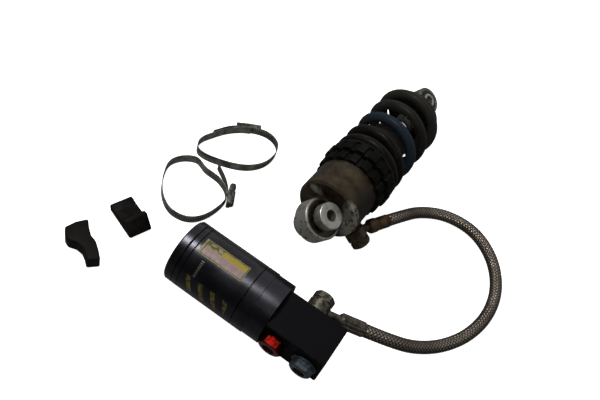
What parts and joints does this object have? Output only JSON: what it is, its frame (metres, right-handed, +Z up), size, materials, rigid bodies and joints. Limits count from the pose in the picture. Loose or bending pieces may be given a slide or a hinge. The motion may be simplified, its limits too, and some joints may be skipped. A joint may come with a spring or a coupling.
{
  "type": "motorcycle rear shock absorber",
  "caption": "Motorcycle rear shock absorber: coil spring over a damper, a remote reservoir on a braided hose with two adjusters, and loose clamps and saddle pads.",
  "frame": {"origin": "centre of the upper eye, on the axis of its bolt bore", "axes": "+Y along the shock from the upper eye to the lower eye, +Z up from the level surface that the parts lie on, +X towards the hose"},
  "size_m": [0.3791, 0.4278, 0.082],
  "materials": {
    "worn_head": "worn dark hard anodising",
    "machined_steel": "turned",
    "bearing_steel": "ground",
    "black_body": "dark anodised",
    "black_ring": "black anodised, turned grooves",
    "spring_black": "satin powder coat with a blue-grey coil",
    "rod_chrome": "ground and polished",
    "dark_steel": "dark oxide",
    "seal_rubber": "moulded",
    "slide_polymer": "filled polymer",
    "bump_foam": "moulded foam",
    "lower_eye_grey": "machined",
    "olive_fitting": "aged plating",
    "rust_ferrule": "worn brown plating",
    "copper_washer": "annealed",
    "nickel_fitting": "nickel plated",
    "hose_braid": "woven steel braid",
    "reservoir_grey": "dark hard anodised with a plain coloured label",
    "cap_grey": "turned",
    "block_black": "matte black anodised",
    "red_anodised": "red anodised",
    "blue_anodised": "blue-grey anodised",
    "dark_screw": "dark oxide",
    "clamp_steel": "rolled stainless strip",
    "pad_rubber": "moulded"
  },
  "bodies": {
    "root": {"damper_head": "worn_head", "upper_bearing_race": "bearing_steel", "upper_bearing_clips": "bearing_steel", "damper_body": "black_body", "upper_spring_seat": "black_ring", "main_spring": "spring_black", "seal_head": "lower_eye_grey", "rod_seal": "seal_rubber", "rod_wiper": "seal_rubber", "seal_head_clip": "dark_steel", "head_banjo": "olive_fitting", "head_banjo_bolt": "olive_fitting", "head_sealing_washers": "copper_washer", "block_banjo": "nickel_fitting", "block_banjo_bolt": "nickel_fitting", "block_sealing_washers": "copper_washer", "head_hose_ferrule": "rust_ferrule", "block_hose_ferrule": "nickel_fitting", "braided_hose": "hose_braid", "reservoir_tube": "reservoir_grey", "reservoir_end_cap": "cap_grey", "gas_valve": "dark_steel", "valve_block": "block_black", "high_speed_cartridge": "bearing_steel", "low_speed_cartridge": "bearing_steel", "front_clamp_band": "clamp_steel", "front_clamp_housing": "clamp_steel", "rear_clamp_band": "clamp_steel", "rear_clamp_housing": "clamp_steel", "front_saddle_pad": "pad_rubber", "rear_saddle_pad": "pad_rubber"},
    "rod": {"damper_rod": "rod_chrome", "main_piston": "lower_eye_grey", "piston_band": "slide_polymer", "valve_shims": "bearing_steel", "piston_nut": "dark_steel", "top_out_ring": "seal_rubber", "bump_stop": "bump_foam", "bump_stop_washer": "dark_steel", "rod_lock_nut": "dark_steel", "lower_eye": "lower_eye_grey", "lower_bush": "seal_rubber", "lower_spring_seat": "black_ring"},
    "upper_ball": {"upper_bearing_ball": "bearing_steel"},
    "upper_spacers": {"upper_eye_spacers": "machined_steel"},
    "lock_ring": {"lock_ring": "black_ring"},
    "preload_ring": {"preload_ring": "black_ring"},
    "rebound_wheel": {"rebound_wheel": "black_ring"},
    "lower_sleeve": {"lower_eye_sleeve": "machined_steel"},
    "floating_piston": {"floating_piston": "lower_eye_grey", "floating_piston_seal": "seal_rubber"},
    "high_adjuster": {"high_speed_adjuster": "red_anodised"},
    "high_screw": {"high_speed_screw": "dark_screw"},
    "low_adjuster": {"low_speed_adjuster": "blue_anodised"},
    "low_screw": {"low_speed_screw": "dark_screw"},
    "front_screw": {"front_clamp_screw": "clamp_steel"},
    "rear_screw": {"rear_clamp_screw": "clamp_steel"}
  },
  "joints": [
    {"name": "stroke", "type": "slide", "parent": "root", "child": "rod", "axis": [0, -1, 0], "range_m": [0, 0.028], "stiffness_N_per_m": 90000, "deforming": ["main_spring"]},
    {"name": "floating_slide", "type": "slide", "parent": "root", "child": "floating_piston", "axis": [-0.9992, -0.0401, 0], "range_m": [0, 0.00182]},
    {"name": "upper_ball_tilt", "type": "hinge", "parent": "root", "child": "upper_ball", "pos_m": [0, 0, 0], "axis": [-0.866, 0, 0.5], "range_deg": [-7, 7]},
    {"name": "upper_spacer_spin", "type": "hinge", "parent": "upper_ball", "child": "upper_spacers", "pos_m": [0, 0, 0], "axis": [0.5, 0, 0.866], "continuous": true},
    {"name": "lower_sleeve_spin", "type": "hinge", "parent": "rod", "child": "lower_sleeve", "pos_m": [0, 0.238, 0], "axis": [0.5, 0, 0.866], "continuous": true},
    {"name": "lock_ring_turn", "type": "hinge", "parent": "root", "child": "lock_ring", "pos_m": [0, 0.0648, 0], "axis": [0, 1, 0], "continuous": true},
    {"name": "preload_ring_turn", "type": "hinge", "parent": "root", "child": "preload_ring", "pos_m": [0, 0.0798, 0], "axis": [0, 1, 0], "continuous": true},
    {"name": "rebound_wheel_turn", "type": "hinge", "parent": "rod", "child": "rebound_wheel", "pos_m": [0, 0.2026, 0], "axis": [0, 1, 0], "range_deg": [-540, 540]},
    {"name": "high_speed_turn", "type": "hinge", "parent": "root", "child": "high_adjuster", "pos_m": [0.04211, -0.12961, -0.01065], "axis": [0.0397, -0.9895, -0.1392], "range_deg": [-720, 720]},
    {"name": "high_speed_screw_turn", "type": "hinge", "parent": "high_adjuster", "child": "high_screw", "pos_m": [0.04211, -0.12961, -0.01065], "axis": [0.0397, -0.9895, -0.1392], "range_deg": [-540, 540]},
    {"name": "low_speed_turn", "type": "hinge", "parent": "root", "child": "low_adjuster", "pos_m": [0.07507, -0.128, -0.01263], "axis": [0.0397, -0.9895, -0.1392], "range_deg": [-720, 720]},
    {"name": "low_speed_screw_turn", "type": "hinge", "parent": "low_adjuster", "child": "low_screw", "pos_m": [0.07507, -0.128, -0.01263], "axis": [0.0397, -0.9895, -0.1392], "range_deg": [-540, 540]},
    {"name": "front_clamp_turn", "type": "hinge", "parent": "root", "child": "front_screw", "pos_m": [-0.13554, 0.07941, -0.0355], "axis": [-0.8113, -0.5846, 0], "continuous": true},
    {"name": "rear_clamp_turn", "type": "hinge", "parent": "root", "child": "rear_screw", "pos_m": [-0.09075, -0.01499, -0.0355], "axis": [-0.4975, 0.8675, 0], "continuous": true}
  ],
  "couplings": [
    {"joint": "floating_slide", "follows": "stroke", "ratio": 0.0648}
  ]
}
